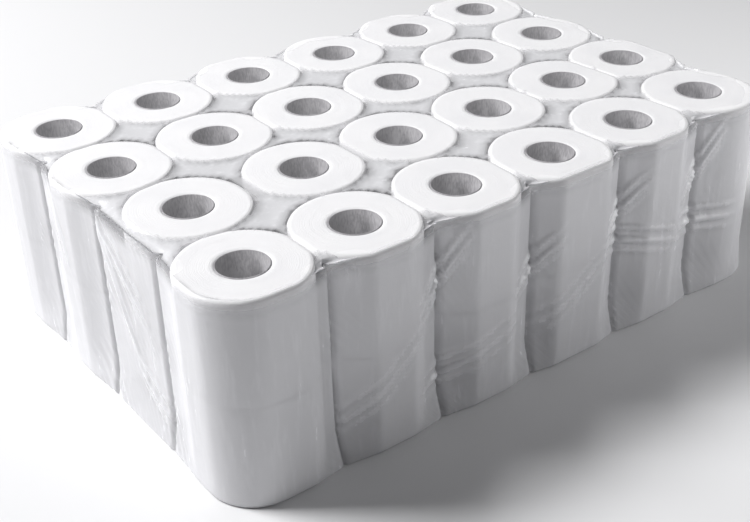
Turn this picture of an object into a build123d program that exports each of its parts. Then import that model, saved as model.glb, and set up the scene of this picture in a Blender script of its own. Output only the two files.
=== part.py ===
"""A bale of toilet paper rolls in a tight clear film: two layers of rolls standing on end, four rows of six.

The rolls are soft. The bale's tightness has made each a little oval, and flat where a neighbour or the film presses.
Millimetres, +Z up, +X along the bale. The origin is on the ground under the middle of the bale.
"""

from build123d import *

import math
import os

# One roll as it comes off the winder
ROLL_DIAMETER = 111.0
ROLL_HEIGHT = 96.0
ROLL_EDGE = 1.6  # rounding where the outer wall meets each end
PRESS_ROUND = 12.0  # how softly a pressed flat runs back into the round wall

# The cardboard tube that the paper is wound on
CORE_BORE = 42.0
CORE_WALL = 0.6

# How the rolls are packed
COLUMNS = 6
ROWS = 4
LAYERS = ("lower", "upper")
OVAL = 2.0  # how much narrower a packed roll is along the bale, and wider across it
SQUEEZE_ALONG = 4.0  # how far two neighbours in a row are pressed into each other
SQUEEZE_ACROSS = 3.0  # the same from row to row
FILM_SQUEEZE = 3.0  # how far the film presses the outer rolls in
FAR_BULGE = 3.0  # how much further out the film stands at the far end
PRESS_GAP = 0.2  # clearance between two pressed flats, and between a flat and the film

# The film, thicker than the real 0.06 so that it is a sound solid
FILM = 0.3

# Where the rolls really stand. The second row has slipped along the bale by about a quarter of a roll, the lower layer
# a little less. Its first roll lags behind and the film stops its last one. A column named here has shifted as a whole.
# A row, column or roll that isn't named stands true.
ROW_SLIP = {"lower": {1: 20.0}, "upper": {1: 25.0}}
COLUMN_SLIP = {3: -5.0, 5: 5.0}
LAG = -10.0
STOPPED = -15.0
STRAY = {
    "lower": {(1, 5): (STOPPED, 0.0)},
    "upper": {(1, 0): (LAG, 0.0), (1, 5): (STOPPED, 0.0)},
}

# Worked out from the sizes above
RADIUS_ALONG = (ROLL_DIAMETER - OVAL) / 2
RADIUS_ACROSS = (ROLL_DIAMETER + OVAL) / 2
CORE_RADIUS = CORE_BORE / 2 + CORE_WALL
PITCH_ALONG = 2 * RADIUS_ALONG - SQUEEZE_ALONG
PITCH_ACROSS = 2 * RADIUS_ACROSS - SQUEEZE_ACROSS
REACH = RADIUS_ACROSS - FILM_SQUEEZE  # from an outer roll's place to the film's inner face
INSIDE_ALONG = (COLUMNS - 1) * PITCH_ALONG + 2 * REACH + FAR_BULGE
INSIDE_ACROSS = (ROWS - 1) * PITCH_ACROSS + 2 * REACH
INSIDE_HEIGHT = len(LAYERS) * ROLL_HEIGHT
FIRST_X = -INSIDE_ALONG / 2 + REACH  # the place of the first roll of the first row
FIRST_Y = -INSIDE_ACROSS / 2 + REACH

# The film's upright corners just clear the round shoulder of a roll that two walls press on
FILM_CORNER = (math.sqrt(2) * REACH - RADIUS_ACROSS - PRESS_GAP) / (math.sqrt(2) - 1)


def roll_centres(layer):
    """The centre of every roll of a layer, by (row, column)."""
    centres = {}
    for row in range(ROWS):
        for column in range(COLUMNS):
            along, across = STRAY[layer].get((row, column), (0.0, 0.0))
            x = FIRST_X + column * PITCH_ALONG + ROW_SLIP[layer].get(row, 0.0) + along
            y = FIRST_Y + row * PITCH_ACROSS + COLUMN_SLIP.get(column, 0.0) + across
            centres[row, column] = Vector(x, y)
    return centres


def neighbours(centre, centres):
    """The other rolls that stand near enough to press on the one at a centre."""
    return [other for other in centres if 0 < (other - centre).length < 2 * RADIUS_ACROSS + PRESS_GAP]


def write(part, name):
    """Labels a piece and writes its STEP file."""
    part.label = name
    export_step(part, f"parts/{name}.step")


def paper_roll(centre, pressers, base, room):
    """One roll standing at base height: an oval section gone flat where it is pressed, with the tube's bore."""
    with BuildPart() as roll:
        with BuildSketch(Plane.XY.offset(base)):
            with Locations(centre):
                SlotCenterToCenter(2 * (RADIUS_ACROSS - RADIUS_ALONG), 2 * RADIUS_ALONG, rotation=90)
            add(room, mode=Mode.INTERSECT)
            for presser in pressers:
                towards = presser - centre
                flat = centre + towards.normalized() * (towards.length - PRESS_GAP) / 2
                bearing = math.degrees(math.atan2(towards.Y, towards.X))
                with Locations(Location(flat, bearing)):
                    Rectangle(
                        ROLL_DIAMETER,
                        2 * ROLL_DIAMETER,
                        align=(Align.MIN, Align.CENTER),
                        mode=Mode.SUBTRACT,
                    )
            offset(amount=-PRESS_ROUND)
            offset(amount=PRESS_ROUND)
        extrude(amount=ROLL_HEIGHT)
        ends = roll.edges().group_by(Axis.Z)
        fillet(ends[0] + ends[-1], ROLL_EDGE)
        with BuildSketch(Plane.XY.offset(base)):
            with Locations(centre):
                Circle(CORE_RADIUS)
        extrude(amount=ROLL_HEIGHT, mode=Mode.SUBTRACT)
    return roll.part


def core_tubes(centres, base):
    """The cardboard tubes of one row of rolls, each a separate solid."""
    with BuildPart() as tubes:
        with BuildSketch(Plane.XY.offset(base)):
            with Locations(*centres):
                Circle(CORE_RADIUS)
                Circle(CORE_BORE / 2, mode=Mode.SUBTRACT)
        extrude(amount=ROLL_HEIGHT)
    return tubes.part


# The room inside the film, in plan and as a solid drawn in over the rolls' rounded edges
with BuildSketch() as room_plan:
    RectangleRounded(INSIDE_ALONG, INSIDE_ACROSS, FILM_CORNER)

with BuildPart() as room:
    with BuildSketch(Plane.XY.offset(FILM)):
        add(room_plan.sketch)
    extrude(amount=INSIDE_HEIGHT)
    rims = room.edges().group_by(Axis.Z)
    fillet(rims[0] + rims[-1], ROLL_EDGE)

# The film itself: a closed skin round that room
with BuildPart() as film_wrap:
    with BuildSketch():
        RectangleRounded(INSIDE_ALONG + 2 * FILM, INSIDE_ACROSS + 2 * FILM, FILM_CORNER + FILM)
    extrude(amount=INSIDE_HEIGHT + 2 * FILM)
    rims = film_wrap.edges().group_by(Axis.Z)
    fillet(rims[0] + rims[-1], ROLL_EDGE + FILM)
    add(room.part, mode=Mode.SUBTRACT)

# What the rolls may fill of the room, in plan
with BuildSketch() as roll_room:
    RectangleRounded(INSIDE_ALONG - 2 * PRESS_GAP, INSIDE_ACROSS - 2 * PRESS_GAP, FILM_CORNER - PRESS_GAP)

os.makedirs("parts", exist_ok=True)
write(film_wrap.part, "film_wrap")
for level, layer in enumerate(LAYERS):
    base = FILM + level * ROLL_HEIGHT
    centres = roll_centres(layer)
    for (row, column), centre in centres.items():
        roll = paper_roll(centre, neighbours(centre, centres.values()), base, roll_room.sketch)
        write(roll, f"{layer}_roll_row{row + 1}_no{column + 1}")
    for row in range(ROWS):
        row_centres = [centres[row, column] for column in range(COLUMNS)]
        write(core_tubes(row_centres, base), f"{layer}_cores_row{row + 1}")
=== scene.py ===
# %% [markdown]
# # A bale of toilet paper rolls in clear film
# The bale is 48 soft rolls standing on end, a cardboard tube in each, and one tight clear film round them all. The
# construction gives every piece its place and size. Here each gets the shape and finish that the eye expects: rolls
# with layered ends and creped walls, grey tubes, and a film that pulls into the valleys, folds and glints.

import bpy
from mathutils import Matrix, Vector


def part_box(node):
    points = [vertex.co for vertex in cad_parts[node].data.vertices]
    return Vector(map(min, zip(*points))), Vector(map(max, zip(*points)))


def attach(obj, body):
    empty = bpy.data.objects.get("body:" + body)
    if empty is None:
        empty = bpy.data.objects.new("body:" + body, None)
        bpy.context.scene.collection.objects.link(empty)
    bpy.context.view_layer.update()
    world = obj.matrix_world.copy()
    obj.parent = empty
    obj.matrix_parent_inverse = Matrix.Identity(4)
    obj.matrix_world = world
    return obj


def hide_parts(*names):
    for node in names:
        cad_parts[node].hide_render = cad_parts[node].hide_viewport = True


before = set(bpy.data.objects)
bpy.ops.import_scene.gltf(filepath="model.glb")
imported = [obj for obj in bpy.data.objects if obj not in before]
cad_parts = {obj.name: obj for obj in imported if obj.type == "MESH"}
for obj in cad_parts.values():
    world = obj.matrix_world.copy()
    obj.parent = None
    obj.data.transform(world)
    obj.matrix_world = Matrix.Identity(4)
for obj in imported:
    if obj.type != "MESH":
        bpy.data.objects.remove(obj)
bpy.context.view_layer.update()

# %% Tools of the trade
import math
import random

import bmesh
import bpy
import numpy as np
from mathutils import Matrix, Vector
from mathutils.bvhtree import BVHTree

MM = 0.001

# %% [markdown]
# ## Node trees as expressions
# Materials and Geometry Nodes are both trees of nodes. Wiring them by hand hides the arithmetic, so a `Wire` wraps a
# socket and makes its Math nodes out of ordinary expressions. Every other node comes from `Tree.node`, which sets the
# node's settings first and then its sockets.


# %% Wires and trees
class Wire:
    """An output socket that can be used in sums."""

    def __init__(self, tree, socket):
        self.tree = tree
        self.socket = socket

    def sum(self, operation, *values):
        sockets = dict(enumerate(values))
        return self.tree.node("ShaderNodeMath", {"operation": operation}, sockets)["Value"]

    def __add__(self, other):
        return self.sum("ADD", self, other)

    def __sub__(self, other):
        return self.sum("SUBTRACT", self, other)

    def __mul__(self, other):
        return self.sum("MULTIPLY", self, other)

    def __truediv__(self, other):
        return self.sum("DIVIDE", self, other)

    def __rsub__(self, other):
        return self.sum("SUBTRACT", other, self)

    def __pow__(self, other):
        return self.sum("POWER", self, other)

    __radd__ = __add__
    __rmul__ = __mul__

    def between(self, low, high):
        """0 below low, 1 above high and smooth between them."""
        settings = {"interpolation_type": "SMOOTHSTEP"}
        sockets = {"Value": self, "From Min": low, "From Max": high}
        return self.tree.node("ShaderNodeMapRange", settings, sockets)["Result"]


class Made:
    """A node just made, whose outputs are read as wires."""

    def __init__(self, tree, node):
        self.tree = tree
        self.node = node

    def __getitem__(self, key):
        return Wire(self.tree, self.node.outputs[key])


class Tree:
    """A node tree that is being wired."""

    def __init__(self, tree):
        self.tree = tree
        tree.nodes.clear()

    def node(self, kind, settings=None, sockets=None):
        made = self.tree.nodes.new(kind)
        for name, value in (settings or {}).items():
            setattr(made, name, value)
        for key, value in (sockets or {}).items():
            if isinstance(value, Wire):
                self.tree.links.new(value.socket, made.inputs[key])
            else:
                made.inputs[key].default_value = value
        return Made(self, made)


def material(name):
    """A new material and its empty tree."""
    made = bpy.data.materials.new(name)
    made.use_nodes = True
    return made, Tree(made.node_tree)


# %% [markdown]
# ## Tissue
# Toilet tissue is a matt white, faintly cool paper. Its wall shows creping: fine ribs that run along the tube. The
# ends show the edges of the turns as fine rings. The rolls' own tree leaves a `share` on each point, 0 at the tube
# and 1 at the outer turn, so the rings follow a roll that has been pressed out of round. Object coordinates drive the
# creping, drawn out along Z.

# %% The tissue material
TISSUE_WHITE = (0.90, 0.895, 0.905, 1)
TISSUE_DULL = (0.80, 0.80, 0.825, 1)

tissue, tree = material("tissue")
place = tree.node("ShaderNodeTexCoord")["Object"]
along = tree.node("ShaderNodeMapping", {}, {"Vector": place, "Scale": (1, 1, 0.12)})["Vector"]
creping = tree.node("ShaderNodeTexNoise", {}, {"Vector": along, "Scale": 900, "Detail": 4, "Roughness": 0.6})["Fac"]
quilting = tree.node("ShaderNodeTexNoise", {}, {"Vector": place, "Scale": 420, "Detail": 3})["Fac"]
cloudy = tree.node("ShaderNodeTexNoise", {}, {"Vector": place, "Scale": 26, "Detail": 3})["Fac"]
share = tree.node("ShaderNodeAttribute", {"attribute_name": "share"})["Fac"]
facing = tree.node("ShaderNodeSeparateXYZ", {}, {0: tree.node("ShaderNodeNewGeometry")["Normal"]})["Z"]
on_end = facing.sum("ABSOLUTE", facing).between(0.6, 0.9)
turns = tree.node("ShaderNodeTexNoise", {"noise_dimensions": "1D"}, {"W": share * 60, "Scale": 1, "Detail": 5})["Fac"]
relief = (creping * 0.5 + quilting * 0.5) * (1 - on_end) + turns * on_end * 1.2 + quilting * on_end * 0.35
bump = tree.node("ShaderNodeBump", {}, {"Height": relief, "Strength": 0.55, "Distance": 0.0006})["Normal"]
tone = cloudy.between(0.35, 0.75) * 0.35 + turns.between(0.5, 0.8) * on_end * 0.45
# A Mix node has its colours at inputs 6 and 7 and gives them at output 2
mix = tree.node("ShaderNodeMix", {"data_type": "RGBA"}, {"Factor": tone, 6: TISSUE_WHITE, 7: TISSUE_DULL})
paper = tree.node(
    "ShaderNodeBsdfPrincipled",
    {},
    {"Base Color": mix[2], "Roughness": 0.92, "Specular IOR Level": 0.2, "Normal": bump},
)
tree.node("ShaderNodeOutputMaterial", {}, {"Surface": paper["BSDF"]})
print("tissue:", len(tissue.node_tree.nodes), "nodes")

# %% [markdown]
# ## Cardboard
# The tubes are thin grey recycled board, wound in a spiral. Seen from above, only the inside of the wall shows. Small
# flecks and soft streaks along the tube give the board its look.

# %% The cardboard material
BOARD_GREY = (0.27, 0.262, 0.275, 1)
BOARD_PALE = (0.42, 0.41, 0.425, 1)

cardboard, tree = material("cardboard")
place = tree.node("ShaderNodeTexCoord")["Object"]
drawn = tree.node("ShaderNodeMapping", {}, {"Vector": place, "Scale": (1, 1, 0.3)})["Vector"]
fibres = tree.node("ShaderNodeTexNoise", {}, {"Vector": drawn, "Scale": 700, "Detail": 4})["Fac"]
patches = tree.node("ShaderNodeTexNoise", {}, {"Vector": place, "Scale": 60, "Detail": 2})["Fac"]
tint = (fibres * 0.6 + patches * 0.4).between(0.35, 0.65)
mix = tree.node("ShaderNodeMix", {"data_type": "RGBA"}, {"Factor": tint, 6: BOARD_GREY, 7: BOARD_PALE})
bump = tree.node("ShaderNodeBump", {}, {"Height": fibres, "Strength": 0.3, "Distance": 0.0003})["Normal"]
board = tree.node(
    "ShaderNodeBsdfPrincipled",
    {},
    {"Base Color": mix[2], "Roughness": 0.85, "Specular IOR Level": 0.25, "Normal": bump},
)
tree.node("ShaderNodeOutputMaterial", {}, {"Surface": board["BSDF"]})
print("cardboard:", len(cardboard.node_tree.nodes), "nodes")

# %% [markdown]
# ## Clear film
# Polyethylene film is nearly invisible face on. It shows by its gloss, by a slight milkiness, and where it is
# stretched or folded into fine streaks. Alpha carries the milkiness and grows at a glancing angle. Metallic gives the
# little that is there a clear shine, because a plain gloss would fade with the alpha. The mesh below leaves two
# values on its points: `veil`, how milky the film is there, and `strain`, which whitens the creases and folds. That
# whitening is partly the real whitening of stretched film and partly painted highlight, for the glints of folds,
# ripples and the joint between the layers.

# %% The film material
FILM_GLANCE = 1.1
FILM_STRAIN_GLINT = 0.3

film, tree = material("clear film")
place = tree.node("ShaderNodeTexCoord")["Object"]
strain = tree.node("ShaderNodeAttribute", {"attribute_name": "strain"})["Fac"]
veil = tree.node("ShaderNodeAttribute", {"attribute_name": "veil"})["Fac"]
turned = tree.node("ShaderNodeMapping", {}, {"Vector": place, "Rotation": (0.5, 0.35, 0.3), "Scale": (1, 1, 0.16)})
streaks = tree.node("ShaderNodeTexNoise", {}, {"Vector": turned["Vector"], "Scale": 120, "Detail": 5})["Fac"]
crumple = tree.node("ShaderNodeTexNoise", {}, {"Vector": place, "Scale": 42, "Detail": 5, "Distortion": 1.2})["Fac"]
glance = tree.node("ShaderNodeLayerWeight", {}, {"Blend": 0.25})["Facing"]
# The strain term's whitening is partly real stretch whitening and partly a painted highlight along folds and creases
white = streaks.between(0.5, 0.75) * veil * 0.12 + strain * FILM_STRAIN_GLINT * (0.4 + streaks * 1.2)
alpha = veil + glance ** 3 * FILM_GLANCE + white
dull = 0.16 + streaks * 0.16 + strain * 0.15
height = streaks * 0.3 + crumple * 0.5 + strain * 1.7
bump = tree.node("ShaderNodeBump", {}, {"Height": height, "Strength": 0.35, "Distance": 0.0022})["Normal"]
sheet = tree.node(
    "ShaderNodeBsdfPrincipled",
    {},
    {
        "Base Color": (0.87, 0.87, 0.895, 1),
        "Metallic": 0.12,
        "Roughness": dull,
        "Alpha": alpha,
        "Normal": bump,
    },
)
tree.node("ShaderNodeOutputMaterial", {}, {"Surface": sheet["BSDF"]})
print("clear film:", len(film.node_tree.nodes), "nodes")

# %% [markdown]
# ## Where the rolls stand
# The construction's rolls already have their places and their pressed flats, so nothing is measured twice. A roll's
# axis is the middle of its bore, which is round even where the outside isn't.

# %% Rolls and their axes
CORE_WALL = 0.6 * MM
cad_rolls = {name: node for name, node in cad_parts.items() if "_roll_" in name}
cad_tubes = {name: node for name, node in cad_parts.items() if "_cores_" in name}


def points_of(node):
    """A node's distinct points as an array."""
    flat = np.empty(len(node.data.vertices) * 3)
    node.data.vertices.foreach_get("co", flat)
    return np.unique(flat.reshape(-1, 3).round(6), axis=0)


def bore_of(name):
    """(x, y, base z) of a roll's axis, with the bore's radius."""
    low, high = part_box(name)
    points = points_of(cad_rolls[name])
    middle = (np.array(low)[:2] + np.array(high)[:2]) / 2
    bore = points[np.hypot(*(points[:, :2] - middle).T) < 34 * MM]
    centre = (bore.min(axis=0) + bore.max(axis=0)) / 2
    return Vector((centre[0], centre[1], low[2])), float(bore[:, 0].max() - bore[:, 0].min()) / 2


axes = {}
for name in cad_rolls:
    axes[name], bore_radius = bore_of(name)
some_low, some_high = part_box(next(iter(cad_rolls)))
roll_height = some_high[2] - some_low[2]
print(len(axes), "rolls", round(roll_height / MM, 1), "mm high, bore radius", round(bore_radius / MM, 2), "mm")

# %% [markdown]
# ## A roll by rule
# Every roll follows one rule: a rounded oblong swept round the tube, pushed out until it meets the pressed outline,
# and softened by noise, because paper never lies true. Geometry Nodes suit this. A ray cast outwards from the tube
# through the construction's roll finds the outline. The turns' edges stand a fraction of a millimetre up and down.

# %% The roll tree
ROLL_EDGE = 1.4 * MM
FREE_RADIUS = 56 * MM


def new_geometry_tree(name, inputs):
    """A geometry tree with named inputs, given as (name, kind), and one geometry output."""
    made = bpy.data.node_groups.new(name, "GeometryNodeTree")
    for label, kind in inputs:
        made.interface.new_socket(label, in_out="INPUT", socket_type=kind)
    made.interface.new_socket("Geometry", in_out="OUTPUT", socket_type="NodeSocketGeometry")
    return made, Tree(made)


roll_tree, tree = new_geometry_tree(
    "Paper roll",
    [
        ("Pressed outline", "NodeSocketObject"),
        ("Axis", "NodeSocketVector"),
        ("Height", "NodeSocketFloat"),
        ("Bore radius", "NodeSocketFloat"),
        ("Edge rounding", "NodeSocketFloat"),
        ("Segments", "NodeSocketInt"),
        ("Spacing", "NodeSocketFloat"),
        ("Seed", "NodeSocketFloat"),
        ("Finish", "NodeSocketMaterial"),
    ],
)
given = tree.node("NodeGroupInput")
thickness = FREE_RADIUS - given["Bore radius"]
ring = tree.node(
    "GeometryNodeCurvePrimitiveCircle",
    {"mode": "RADIUS"},
    {"Resolution": given["Segments"], "Radius": given["Bore radius"] + thickness * 0.5},
)
oblong = tree.node(
    "GeometryNodeCurvePrimitiveQuadrilateral",
    {"mode": "RECTANGLE"},
    {"Width": thickness, "Height": given["Height"]},
)
rounded = tree.node(
    "GeometryNodeFilletCurve",
    {"mode": "POLY"},
    {"Curve": oblong["Curve"], "Count": 3, "Radius": given["Edge rounding"], "Limit Radius": True},
)
stepped = tree.node(
    "GeometryNodeResampleCurve", {"mode": "LENGTH"}, {"Curve": rounded["Curve"], "Length": given["Spacing"]}
)
swept = tree.node(
    "GeometryNodeCurveToMesh", {}, {"Curve": ring["Curve"], "Profile Curve": stepped["Curve"]}
)

position = tree.node("GeometryNodeInputPosition")["Position"]
parts = tree.node("ShaderNodeSeparateXYZ", {}, {0: position})
flat = tree.node("ShaderNodeCombineXYZ", {}, {"X": parts["X"], "Y": parts["Y"]})["Vector"]
outwards = tree.node("ShaderNodeVectorMath", {"operation": "NORMALIZE"}, {0: flat})["Vector"]
reach = tree.node("ShaderNodeVectorMath", {"operation": "LENGTH"}, {0: flat})["Value"]
turn_share = (reach - given["Bore radius"]) / thickness

start_reach = given["Bore radius"] + 5 * MM
start = tree.node("ShaderNodeVectorMath", {"operation": "SCALE"}, {0: outwards, "Scale": start_reach})["Vector"]
middle = tree.node("ShaderNodeCombineXYZ", {}, {"Z": given["Height"] * 0.5})["Vector"]
raised = tree.node("ShaderNodeVectorMath", {"operation": "ADD"}, {0: start, 1: middle})["Vector"]
source = tree.node("ShaderNodeVectorMath", {"operation": "ADD"}, {0: raised, 1: given["Axis"]})["Vector"]
cad_roll = tree.node("GeometryNodeObjectInfo", {}, {"Object": given["Pressed outline"]})["Geometry"]
hit = tree.node(
    "GeometryNodeRaycast",
    {},
    {"Target Geometry": cad_roll, "Source Position": source, "Ray Direction": outwards, "Ray Length": 0.1},
)["Hit Distance"]
outline = start_reach + hit

soft = tree.node(
    "ShaderNodeTexNoise",
    {"noise_dimensions": "4D"},
    {"Vector": position, "W": given["Seed"], "Scale": 28, "Detail": 3},
)["Fac"]
dents = tree.node(
    "ShaderNodeTexNoise",
    {"noise_dimensions": "1D"},
    {"W": turn_share * 14 + given["Seed"], "Scale": 1, "Detail": 4},
)["Fac"]
pushed = given["Bore radius"] + turn_share * (outline - given["Bore radius"] - (0.45 + soft * 0.9) * MM)
level = parts["Z"] * (1 - 0.008 * (dents + soft) * turn_share.between(0, 0.1)) + given["Height"] * 0.5
side = tree.node("ShaderNodeVectorMath", {"operation": "SCALE"}, {0: outwards, "Scale": pushed})["Vector"]
up = tree.node("ShaderNodeCombineXYZ", {}, {"Z": level})["Vector"]
shaped = tree.node("ShaderNodeVectorMath", {"operation": "ADD"}, {0: side, 1: up})["Vector"]
seated = tree.node("ShaderNodeVectorMath", {"operation": "ADD"}, {0: shaped, 1: given["Axis"]})["Vector"]
marked = tree.node(
    "GeometryNodeStoreNamedAttribute",
    {"data_type": "FLOAT", "domain": "POINT"},
    {"Geometry": swept["Mesh"], "Name": "share", "Value": turn_share},
)
moved = tree.node("GeometryNodeSetPosition", {}, {"Geometry": marked["Geometry"], "Position": seated})
smooth = tree.node("GeometryNodeSetShadeSmooth", {}, {"Geometry": moved["Geometry"]})
real = tree.node("GeometryNodeRealizeInstances", {}, {"Geometry": smooth["Geometry"]})
done = tree.node("GeometryNodeSetMaterial", {}, {"Geometry": real["Geometry"], "Material": given["Finish"]})
tree.node("NodeGroupOutput", {}, {"Geometry": done["Geometry"]})
print("paper roll tree:", len(roll_tree.nodes), "nodes")

# %% [markdown]
# ## From tree to plain mesh
# A modifier's inputs are known by identifiers, not by names, so they are looked up in the tree's interface and set
# before the object is first evaluated. `new_from_object` then reads the evaluated object as a plain mesh.


# %% Growing a piece from a tree
def grow(name, tree, points=(), **inputs):
    """A plain mesh piece made by a geometry tree from points, with its inputs given by name, spaces as underscores."""
    start = bpy.data.meshes.new(name + "_maker")
    start.from_pydata(points, [], [])
    holder = bpy.data.objects.new(name + "_maker", start)
    bpy.context.collection.objects.link(holder)
    modifier = holder.modifiers.new("maker", "NODES")
    modifier.node_group = tree
    for item in tree.interface.items_tree:
        wanted = inputs.get(item.name.replace(" ", "_"))
        if item.in_out == "INPUT" and wanted is not None:
            modifier[item.identifier] = wanted
    evaluated = holder.evaluated_get(bpy.context.evaluated_depsgraph_get())
    mesh = bpy.data.meshes.new_from_object(evaluated)
    mesh.name = name
    bpy.data.objects.remove(holder)
    piece = bpy.data.objects.new(name, mesh)
    bpy.context.collection.objects.link(piece)
    return piece


def triangles(piece):
    """How many triangles a piece has."""
    return sum(len(face.vertices) - 2 for face in piece.data.polygons)


# %% Forty-eight rolls
SEEN_SPACING = 3.1 * MM
HIDDEN_SPACING = 9 * MM


def is_seen(name):
    """True for an upper roll and for a lower one that stands against the film."""
    return name.startswith("upper") or "row1" in name or "row4" in name or name.endswith(("no1", "no6"))


total = 0
for number, (name, node) in enumerate(sorted(cad_rolls.items())):
    roll = grow(
        name.replace("_roll_", "_paper_"),
        roll_tree,
        Pressed_outline=node,
        Axis=axes[name],
        Height=roll_height,
        Bore_radius=bore_radius,
        Edge_rounding=ROLL_EDGE,
        Segments=80 if is_seen(name) else 48,
        Spacing=SEEN_SPACING if is_seen(name) else HIDDEN_SPACING,
        Seed=number * 7.3,
        Finish=tissue,
    )
    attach(roll, "root")
    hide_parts(name)
    total += triangles(roll)
print("rolls:", total, "triangles in all")

# %% [markdown]
# ## The tubes
# A tube is a thin wall swept round. One tree makes a tube at a place, and the six of a row are joined into
# the row's piece.

# %% The tube tree
tube_tree, tree = new_geometry_tree(
    "Cardboard tubes",
    [
        ("Places", "NodeSocketGeometry"),
        ("Height", "NodeSocketFloat"),
        ("Outer radius", "NodeSocketFloat"),
        ("Wall", "NodeSocketFloat"),
        ("Finish", "NodeSocketMaterial"),
    ],
)
given = tree.node("NodeGroupInput")
ring = tree.node(
    "GeometryNodeCurvePrimitiveCircle",
    {"mode": "RADIUS"},
    {"Resolution": 72, "Radius": given["Outer radius"] - given["Wall"] * 0.5},
)
section = tree.node(
    "GeometryNodeCurvePrimitiveQuadrilateral",
    {"mode": "RECTANGLE"},
    {"Width": given["Wall"], "Height": given["Height"]},
)
wall = tree.node(
    "GeometryNodeCurveToMesh", {}, {"Curve": ring["Curve"], "Profile Curve": section["Curve"]}
)
tubes = tree.node(
    "GeometryNodeInstanceOnPoints", {}, {"Points": given["Places"], "Instance": wall["Mesh"]}
)
real = tree.node("GeometryNodeRealizeInstances", {}, {"Geometry": tubes["Instances"]})
facing = tree.node("ShaderNodeSeparateXYZ", {}, {0: tree.node("GeometryNodeInputNormal")["Normal"]})["Z"]
is_wall = 1 - facing.sum("ABSOLUTE", facing)
smooth = tree.node(
    "GeometryNodeSetShadeSmooth",
    {"domain": "FACE"},
    {"Geometry": real["Geometry"], "Shade Smooth": is_wall},
)
done = tree.node("GeometryNodeSetMaterial", {}, {"Geometry": smooth["Geometry"], "Material": given["Finish"]})
tree.node("NodeGroupOutput", {}, {"Geometry": done["Geometry"]})
print("tube tree:", len(tube_tree.nodes), "nodes")

# %% Eight rows of tubes
rows_of_tubes = {}
for name, axis in axes.items():
    tubes_name = name.replace("_roll_", "_cores_").rsplit("_no", 1)[0]
    rows_of_tubes.setdefault(tubes_name, []).append(axis)

total = 0
for name, bases in sorted(rows_of_tubes.items()):
    middles = [base + Vector((0, 0, roll_height / 2)) for base in bases]
    tubes = grow(
        name.replace("_cores_", "_tubes_"),
        tube_tree,
        middles,
        Height=roll_height - 0.6 * MM,
        Outer_radius=bore_radius - 0.05 * MM,
        Wall=CORE_WALL,
        Finish=cardboard,
    )
    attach(tubes, "root")
    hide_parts(name)
    total += triangles(tubes)
print("tubes:", total, "triangles in all")

# %% [markdown]
# ## The film, cut out as a box
# The film is one closed skin. It starts as a lattice over a rounded box: a coarse grid for the top and one for the
# bottom, and a finer wall of columns between them, with a strip of fans where the two meet. The wall gets the finer
# mesh because that is where the creases are.

# %% The lattice of the film
FILM_CORNER = 45.4 * MM
FILM_ROLL_OVER = 3.0 * MM
COARSE = 4.7 * MM
WALL_STEP = 2.9 * MM
ARC_STEPS = 4

film_low, film_high = (np.array(corner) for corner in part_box("film_wrap"))
half_x, half_y = (film_high - film_low)[:2] / 2 - 0.1 * MM
top_z = film_high[2] - 0.15 * MM
floor_z = film_low[2]
cells_x = round(2 * half_x / COARSE)
cells_y = round(2 * half_y / COARSE)


def round_corners(x, y, across_x, across_y, radius):
    """Draws a rectangle's corner squares into quarter discs."""
    a = np.clip(np.abs(x) - (across_x - radius), 0, None) / radius
    b = np.clip(np.abs(y) - (across_y - radius), 0, None) / radius
    far = np.maximum(a, b)
    near = np.minimum(a, b) / np.where(far > 0, far, 1)
    turn = np.where(a >= b, near * math.pi / 4, math.pi / 2 - near * math.pi / 4)
    in_corner = (a > 0) & (b > 0)
    new_x = np.where(in_corner, across_x - radius + far * np.cos(turn) * radius, np.abs(x))
    new_y = np.where(in_corner, across_y - radius + far * np.sin(turn) * radius, np.abs(y))
    return np.copysign(new_x, x), np.copysign(new_y, y)


def rim(steps_x, steps_y):
    """The inset outline as a closed loop from the (-X, -Y) corner, anticlockwise, with its outward normals."""
    across_x, across_y = half_x - FILM_ROLL_OVER, half_y - FILM_ROLL_OVER
    radius = FILM_CORNER - FILM_ROLL_OVER
    xs = np.linspace(-across_x, across_x, steps_x + 1)
    ys = np.linspace(-across_y, across_y, steps_y + 1)
    x = np.concatenate([xs[:-1], np.full(steps_y, across_x), xs[:0:-1], np.full(steps_y, -across_x)])
    y = np.concatenate([np.full(steps_x, -across_y), ys[:-1], np.full(steps_x, across_y), ys[:0:-1]])
    x, y = round_corners(x, y, across_x, across_y, radius)
    from_x = np.copysign(np.clip(np.abs(x) - (across_x - radius), 0, None), x)
    from_y = np.copysign(np.clip(np.abs(y) - (across_y - radius), 0, None), y)
    size = np.hypot(from_x, from_y)
    return np.stack([x, y], 1), np.stack([from_x / size, from_y / size], 1)


rim_points, rim_normals = rim(2 * cells_x, 2 * cells_y)
columns = len(rim_points)
arc = [math.pi / 2 * step / ARC_STEPS for step in range(ARC_STEPS + 1)]
wall_rows = round((top_z - floor_z - 2 * FILM_ROLL_OVER) / WALL_STEP)
upright = np.linspace(top_z - FILM_ROLL_OVER, floor_z + FILM_ROLL_OVER, wall_rows + 1)
row_out = [FILM_ROLL_OVER * math.sin(t) for t in arc] + [FILM_ROLL_OVER] * (wall_rows - 1)
row_out += [FILM_ROLL_OVER * math.sin(t) for t in reversed(arc)]
row_z = [top_z - FILM_ROLL_OVER * (1 - math.cos(t)) for t in arc] + list(upright[1:-1])
row_z += [floor_z + FILM_ROLL_OVER * (1 - math.cos(t)) for t in reversed(arc)]
row_out, row_z = np.array(row_out), np.array(row_z)
print("film lattice:", columns, "columns,", len(row_z), "rows, top grid", cells_x, "by", cells_y)

# %% [markdown]
# ## How the film lies
# Stretched film hugs the rolls and bridges the valleys between them, sinking only part of the way in. So each column
# of the wall looks inwards along its normal for the nearest roll of its layer, and sinks by that distance, up to a
# limit. In the middle of each valley it is drawn into a sharp crease. At the joint between the layers the film is
# held out by whichever roll stands further out.

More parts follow.
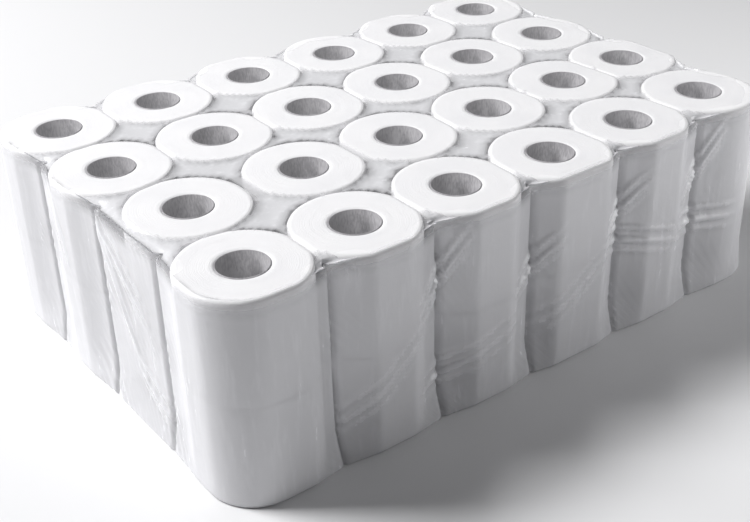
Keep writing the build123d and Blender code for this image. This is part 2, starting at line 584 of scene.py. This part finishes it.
# %% Depth of the film along its rim
FILM_EASE = 0.3 * MM
LONG_SIDE_SINK = 14 * MM
END_SINK = 8 * MM
CREASE_DEPTH = 6 * MM
CREASE_WIDTH = 2.4 * MM


def layer_surface(layer):
    """One search tree over all the construction's rolls of a layer."""
    corners, faces = [], []
    for name, node in cad_rolls.items():
        if name.startswith(layer):
            first = len(corners)
            corners += [vertex.co.copy() for vertex in node.data.vertices]
            faces += [[first + index for index in face.vertices] for face in node.data.polygons]
    return BVHTree.FromPolygons(corners, faces)


surfaces = {layer: layer_surface(layer) for layer in ("lower", "upper")}
wall_points = rim_points + rim_normals * FILM_ROLL_OVER
steps = np.hypot(*(np.roll(wall_points, -1, axis=0) - wall_points).T)
travel = np.concatenate([[0], np.cumsum(steps)[:-1]])
girth = float(steps.sum())


def gaps(layer, height):
    """How far in the nearest roll of a layer stands from each column of the film's wall."""
    found = []
    for point, normal in zip(wall_points, rim_normals):
        inwards = Vector((-normal[0], -normal[1], 0))
        hit = surfaces[layer].ray_cast(Vector((*point, height)), inwards, 0.06)
        found.append(hit[3] if hit[3] is not None else 0.06)
    return np.array(found)


def round_trip(a, b):
    """Distance along the rim between travels a and b, either way round."""
    direct = np.abs(a - b)
    return np.minimum(direct, girth - direct)


def valleys(gap):
    """The travels at which a valley is deepest."""
    top = (gap > np.roll(gap, 1)) & (gap >= np.roll(gap, -1)) & (gap > 18 * MM)
    found = []
    for index in np.flatnonzero(top):
        if not found or travel[index] - found[-1] > 40 * MM:
            found.append(travel[index])
    return found


facing_end = rim_normals[:, 0] ** 2
sink_limit = LONG_SIDE_SINK + (END_SINK - LONG_SIDE_SINK) * facing_end
sink, valley_strain, valley_travels = {}, {}, {}
for layer, share_up in (("lower", 0.25), ("upper", 0.75)):
    gap = gaps(layer, film_low[2] + share_up * (film_high[2] - film_low[2]))
    sink[layer] = sink_limit * (1 - np.exp(-gap / sink_limit))
    valley_strain[layer] = np.zeros(columns)
    valley_travels[layer] = valleys(gap)
    for at in valley_travels[layer]:
        near = np.exp(-((round_trip(travel, at) / CREASE_WIDTH) ** 2))
        sink[layer] += CREASE_DEPTH * near
        valley_strain[layer] = np.maximum(valley_strain[layer], near)
print("valleys round each layer:", {layer: len(found) for layer, found in valley_travels.items()})

# %% [markdown]
# ## Folds
# Pulling film tight leaves slanting folds that run from valley to valley. Each is given by where it starts and
# ends: how many rolls along the wall from its near corner, and what share of the bale's height. Film stands
# taut along a fold, so it sinks less there. The unseen walls get some by chance, from a fixed seed.

# %% The folds' lines
FRONT_FOLDS = [
    (1.0, 0.2, 1.75, 0.5),
    (1.75, 0.2, 2.75, 0.35),
    (1.75, 0.6, 2.25, 0.9),
    (2.75, 0.5, 3.25, 0.7),
    (3.0, 0.25, 3.75, 0.5),
    (3.75, 0.6, 4.25, 0.8),
    (3.75, 0.55, 4.75, 0.4),
    (4.75, 0.45, 5.5, 0.4),
    (4.75, 0.6, 5.25, 0.9),
]
NEAR_END_FOLDS = [
    (2.0, 0.95, 1.5, 0.4),
    (2.75, 0.9, 2.5, 0.6),
    (2.0, 0.95, 1.25, 0.6),
    (1.0, 0.15, 1.5, 0.3),
]
FOLD_BOW = 0.43  # how much of its rise a fold has made halfway along


def placed_folds(folds, half_length, rolls):
    """Folds given in rolls and shares of the height, as lines of three points in millimetres."""
    width = 2 * half_length / rolls
    height = top_z / MM
    lines = []
    for start, low, end, high in folds:
        middle = ((start + end) / 2, low + (high - low) * FOLD_BOW)
        corners = ((start, low), middle, (end, high))
        lines.append([(along * width - half_length, up * height) for along, up in corners])
    return lines


chance = random.Random(11)


def chance_folds(count, half_length):
    """Slanting folds at random places on a wall."""
    folds = []
    for number in range(count):
        start = (2 * (number + chance.random()) / count - 1) * (half_length - 60)
        low = chance.uniform(20, 130)
        lean = chance.choice((-1, 1))
        run = chance.uniform(35, 80)
        folds.append([(start, low), (start + lean * run / 2, low + run * 0.3), (start + lean * run, low + run * 0.7)])
    return folds


# Each wall: the axis that it faces, its side of it, and its folds
WALLS = [
    (1, -1, placed_folds(FRONT_FOLDS, half_x / MM, 6)),
    (0, -1, placed_folds(NEAR_END_FOLDS, half_y / MM, 4)),
    (1, 1, chance_folds(7, half_x / MM)),
    (0, 1, chance_folds(4, half_y / MM)),
]


def nearness(points, line, width):
    """1 on a line and falling away over a width, fading towards the line's ends. Points and line are 2-D."""
    best = np.zeros(len(points))
    pieces_of_line = len(line) - 1
    for number in range(pieces_of_line):
        start, end = (np.array(corner) * MM for corner in line[number : number + 2])
        run = end - start
        share_along = np.clip((points - start) @ run / (run @ run), 0, 1)
        distance = np.hypot(*(points - start - share_along[:, None] * run).T)
        whole = (number + share_along) / pieces_of_line
        fade = np.sin(math.pi * np.clip(whole, 0.04, 0.96)) ** 0.5
        best = np.maximum(best, np.exp(-((distance / width) ** 2)) * fade)
    return best


# %% The wall of the film
FOLD_WIDTH = 2.6 * MM
COMPANIONS = [(0, 1), (13 * MM, 0.6), (-11 * MM, 0.45)]  # each fold has fainter ones above and below: (shift, weight)
FLOOR_TAUT = 0.35
GATHER_PITCH = 7 * MM
JOINT_REACH = 24 * MM

grid_travel, grid_z = np.meshgrid(travel, row_z, indexing="ij")
grid_x = np.repeat(wall_points[:, :1], len(row_z), axis=1)
grid_y = np.repeat(wall_points[:, 1:], len(row_z), axis=1)
joint_z = (floor_z + top_z) / 2
held_out = np.minimum(sink["lower"], sink["upper"])[:, None]
from_joint = np.clip(np.abs(grid_z - joint_z) / JOINT_REACH, 0, 1)
from_joint = from_joint * from_joint * (3 - 2 * from_joint)
above = grid_z > joint_z
own = np.where(above, sink["upper"][:, None], sink["lower"][:, None])
depth = held_out + (own - held_out) * from_joint
strain = np.where(above, valley_strain["upper"][:, None], valley_strain["lower"][:, None]) * from_joint
crease = strain.copy()
strain = strain * 0.12
in_valley = np.clip(depth / sink_limit[:, None], 0, 1)

# Gathers: little slanting ripples in the valleys and under the rims, which come and go
sway = np.sin(grid_travel / (31 * MM)) * 1.7 + np.sin(grid_z / (23 * MM) + grid_travel / (17 * MM)) * 1.3
swell = np.sin(grid_travel / (41 * MM) + 1.3 * np.sin(grid_z / (35 * MM))) * np.sin(grid_z / (29 * MM) + 0.7)
ripple = np.sin(2 * math.pi * (grid_z * 0.5 + grid_travel * 0.8) / GATHER_PITCH + sway * 3) * np.abs(swell)
from_rim = np.minimum(top_z - grid_z, grid_z - floor_z)
gathers = ripple * in_valley * (0.45 + 0.7 * np.exp(-from_rim / (14 * MM)))
depth = depth + gathers * 1.1 * MM
# The ripples whiten the film along half of each wave: painted highlight, for the glints of crinkled film
strain = strain + np.clip(gathers, 0, 1) * 0.28

# The groove between the layers, uneven along the bale
joint_shape = np.exp(-(((grid_z - joint_z + 2.5 * MM * np.sin(grid_travel / (38 * MM))) / (3.2 * MM)) ** 2))
groove = joint_shape * (0.55 + 0.45 * np.sin(grid_travel / (47 * MM) + 1))
depth = depth + groove * 0.3 * MM
# The groove's faint whitening is painted highlight, for the light line where the film bridges the joint
strain = strain + groove * 0.04

for facing_axis, side, folds in WALLS:
    on_wall = (rim_normals[:, facing_axis] * side > 0.9)[:, None] & np.ones_like(above)
    sideways = (grid_x if facing_axis == 1 else grid_y)[on_wall]
    spots = np.stack([sideways, grid_z[on_wall]], 1)
    for fold in folds:
        for shift, weight in COMPANIONS:
            taut = nearness(spots - np.array([0, shift]), fold, FOLD_WIDTH) * weight
            depth[on_wall] *= 1 - 0.35 * taut
            # Along a fold the film whitens: partly real stretch whitening, partly painted highlight for the fold's
            # glint
            strain[on_wall] += taut * 0.75

# The film is taut round the foot of the bale, where it turns under
taut_foot = FLOOR_TAUT + (1 - FLOOR_TAUT) * np.clip((grid_z - floor_z) / (34 * MM), 0, 1)
depth = np.clip(depth * taut_foot + FILM_EASE, 0, None)
print("film wall: sinks up to", round(float(depth.max()) / MM, 1), "mm")

# %% The top and bottom of the film
TOP_VEIL = 0.06
GAP_VEIL = 0.85
WALL_VEIL = 0.66
CREASE_CLEAR = 0.5  # how much of the veil a crease loses, so that the dark behind it shows
DIP_LIMIT = 2.2 * MM
DIP_REACH = 11 * MM
RIM_REACH = 13 * MM
RIM_DROP = 0.28


def cap_grid():
    """The coarse grid's points inside the inset outline, as an array of rows."""
    across_x, across_y = half_x - FILM_ROLL_OVER, half_y - FILM_ROLL_OVER
    xs = np.linspace(-across_x, across_x, cells_x + 1)
    ys = np.linspace(-across_y, across_y, cells_y + 1)
    x, y = np.meshgrid(xs, ys, indexing="ij")
    return np.stack(round_corners(x, y, across_x, across_y, FILM_CORNER - FILM_ROLL_OVER), 2)


def dips(spots):
    """How far the film sags at each spot of the top: not at all on a roll, and most in the middle of a gap."""
    free = np.empty(len(spots), bool)
    for index, spot in enumerate(spots):
        hit = surfaces["upper"].ray_cast(Vector((*spot, top_z + 0.01)), Vector((0, 0, -1)), 0.1)
        free[index] = hit[3] is None or hit[3] > 0.015
    held = spots[~free]
    found = np.zeros(len(spots))
    for index in np.flatnonzero(free):
        nearest = np.hypot(*(held - spots[index]).T).min()
        found[index] = DIP_LIMIT * (1 - math.exp(-nearest / DIP_REACH))
    return found


cap = cap_grid()
spots = cap.reshape(-1, 2)
nearest_column = np.array([np.hypot(*(rim_points - spot).T).argmin() for spot in spots])
to_rim = np.hypot(*(rim_points[nearest_column] - spots).T)
pull = np.exp(-((to_rim / RIM_REACH) ** 2))


def lay_cap(row, height, sag, upwards):
    """A cap's points: drawn in with the wall's first or last row and sagging, and how strained each is."""
    drawn = depth[nearest_column, row] * pull
    flat = spots - rim_normals[nearest_column] * drawn[:, None]
    dropped = (depth[nearest_column, row] - FILM_EASE) * RIM_DROP * pull
    laid = np.column_stack([flat, height - upwards * dropped - sag])
    return laid, strain[nearest_column, row] * np.exp(-to_rim / (9 * MM))


top_sag = dips(spots)
bores = np.array([axis[:2] for name, axis in axes.items() if name.startswith("upper")])
from_bore = np.hypot(*(spots[:, None, :] - bores[None, :, :]).transpose(2, 0, 1)).min(axis=1)
in_gap = (from_bore > bore_radius + 6 * MM) * (top_sag / DIP_LIMIT)
top_veil = TOP_VEIL + (GAP_VEIL - TOP_VEIL) * np.clip(in_gap * 1.8, 0, 1)
wave = np.sin(spots[:, 0] / (29 * MM) + 2 * np.sin(spots[:, 1] / (61 * MM))) * np.sin(spots[:, 1] / (37 * MM))
top_points, top_strain = lay_cap(0, top_z, top_sag + (wave + 1) * 0.05 * MM, 1)
bottom_points, bottom_strain = lay_cap(-1, floor_z, 0, 0)
print("film top: sags up to", round(float(top_sag.max()) / MM, 1), "mm over the bores and gaps")

# %% Sewing the film together
film_rows = len(row_z)
drop = np.clip(1 - (top_z - row_z) / (12 * MM), 0, 1) * RIM_DROP
out = row_out[None, :] - depth
wall_xy = rim_points[:, None, :] + rim_normals[:, None, :] * out[:, :, None]
wall_z = row_z[None, :] - (depth[:, :1] - FILM_EASE) * drop[None, :]
wall = np.concatenate([wall_xy, wall_z[:, :, None]], 2).reshape(-1, 3)

top_first = len(wall)
bottom_first = top_first + len(top_points)
verts = np.concatenate([wall, top_points, bottom_points])
strains = np.concatenate([strain.reshape(-1), top_strain, bottom_strain])
down_wall = np.clip((top_z - row_z) / (16 * MM), 0, 1)
wall_veil = (TOP_VEIL + (WALL_VEIL - TOP_VEIL) * down_wall) * (1 - CREASE_CLEAR * crease)
veils = np.concatenate([wall_veil.reshape(-1), top_veil, np.full(len(bottom_points), WALL_VEIL)])
cap_index = np.arange((cells_x + 1) * (cells_y + 1)).reshape(cells_x + 1, cells_y + 1)
loop = np.concatenate(
    [cap_index[:-1, 0], cap_index[-1, :-1], cap_index[:0:-1, -1], cap_index[0, :0:-1]]
)

faces = []
for column in range(columns):
    here = column * film_rows
    there = (column + 1) % columns * film_rows
    for row in range(film_rows - 1):
        faces.append((here + row, here + row + 1, there + row + 1, there + row))
for i in range(cells_x):
    for j in range(cells_y):
        around = [cap_index[i, j], cap_index[i + 1, j], cap_index[i + 1, j + 1], cap_index[i, j + 1]]
        faces.append(tuple(int(index) + top_first for index in around))
        faces.append(tuple(int(index) + bottom_first for index in reversed(around)))

# Each coarse edge of a cap lies along two fine edges of the wall: they share ends, and the fine middle point is sewn in
film_mesh = bpy.data.meshes.new("film")
for number in range(len(loop)):
    start, end = int(loop[number]), int(loop[(number + 1) % len(loop)])
    fine = [2 * number, 2 * number + 1, (2 * number + 2) % columns]
    upper = [column * film_rows for column in fine]
    lower = [column * film_rows + film_rows - 1 for column in fine]
    faces.append((upper[0], upper[1], upper[2], top_first + end, top_first + start))
    faces.append((lower[2], lower[1], lower[0], bottom_first + start, bottom_first + end))

film_mesh.from_pydata(verts.tolist(), [], faces)
for label, values in (("strain", strains), ("veil", veils)):
    layer_of_values = film_mesh.attributes.new(label, "FLOAT", "POINT")
    layer_of_values.data.foreach_set("value", np.clip(values, 0, 1).astype(np.float32))

sewing = bmesh.new()
sewing.from_mesh(film_mesh)
bmesh.ops.remove_doubles(sewing, verts=sewing.verts, dist=0.02 * MM)
bmesh.ops.recalc_face_normals(sewing, faces=sewing.faces)
open_edges = sum(1 for edge in sewing.edges if not edge.is_manifold)
for face in sewing.faces:
    face.smooth = True
sewing.to_mesh(film_mesh)
sewing.free()
film_mesh.materials.append(film)

film_piece = bpy.data.objects.new("film", film_mesh)
bpy.context.collection.objects.link(film_piece)
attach(film_piece, "root")
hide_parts("film_wrap")
print("film:", triangles(film_piece), "triangles,", open_edges, "open edges")

# %% [markdown]
# ## The room
# A pale floor, and light from high on the far left, so that the top is brightest, the near end is bright and the long
# side is in soft shade. A weak fill keeps the shaded side's folds readable.

# %% Floor, light and sky
FLOOR_SIZE = 6

floor_mesh = bpy.data.meshes.new("floor")
reach = FLOOR_SIZE / 2
floor_mesh.from_pydata(
    [(-reach, -reach, 0), (reach, -reach, 0), (reach, reach, 0), (-reach, reach, 0)], [], [(0, 1, 2, 3)]
)
floor = bpy.data.objects.new("floor", floor_mesh)
bpy.context.collection.objects.link(floor)
floor_paint, tree = material("floor")
paint = tree.node("ShaderNodeBsdfPrincipled", {}, {"Base Color": (0.76, 0.76, 0.77, 1), "Roughness": 0.8})
tree.node("ShaderNodeOutputMaterial", {}, {"Surface": paint["BSDF"]})
floor_mesh.materials.append(floor_paint)


def soft_box(name, place, size, power):
    """A square area light that faces the bale."""
    light = bpy.data.lights.new(name, "AREA")
    light.size = size
    light.energy = power
    holder = bpy.data.objects.new(name, light)
    holder.location = place
    holder.rotation_euler = (Vector((0, 0, 0.1)) - Vector(place)).to_track_quat("-Z", "Y").to_euler()
    bpy.context.collection.objects.link(holder)


soft_box("key", (-2.15, 2.05, 3.2), 1.5, 260)
soft_box("far fill", (1.0, -0.75, 0.4), 0.9, 6.5)

world = bpy.data.worlds.new("studio")
world.use_nodes = True
world.node_tree.nodes["Background"].inputs["Color"].default_value = (0.95, 0.96, 1.0, 1)
world.node_tree.nodes["Background"].inputs["Strength"].default_value = 0.05
bpy.context.scene.world = world
bpy.context.scene.view_settings.view_transform = "Standard"
print("key, fill and sky are lit")

# %% [markdown]
# ## The camera
# It stands off the near corner, above the bale, and looks down at thirty degrees. The lens is a little longer than
# normal, and the horizon leans by under two degrees.

# %% Camera
CAMERA_PLACE = (-0.647, -0.857, 0.644)
CAMERA_HEADING = math.radians(53.8)
CAMERA_DOWN = math.radians(30)
CAMERA_LEAN = math.radians(-1.7)
LENS = 57.8

ahead = Vector(
    (
        math.cos(CAMERA_DOWN) * math.cos(CAMERA_HEADING),
        math.cos(CAMERA_DOWN) * math.sin(CAMERA_HEADING),
        -math.sin(CAMERA_DOWN),
    )
)
level_right = ahead.cross(Vector((0, 0, 1))).normalized()
level_up = level_right.cross(ahead)
right = math.cos(CAMERA_LEAN) * level_right + math.sin(CAMERA_LEAN) * level_up
upwards = -math.sin(CAMERA_LEAN) * level_right + math.cos(CAMERA_LEAN) * level_up
lens = bpy.data.cameras.new("camera")
lens.lens = LENS
camera = bpy.data.objects.new("camera", lens)
camera.matrix_world = Matrix.Translation(CAMERA_PLACE) @ Matrix((right, upwards, -ahead)).transposed().to_4x4()
bpy.context.collection.objects.link(camera)
bpy.context.scene.camera = camera
print("camera at", CAMERA_PLACE)
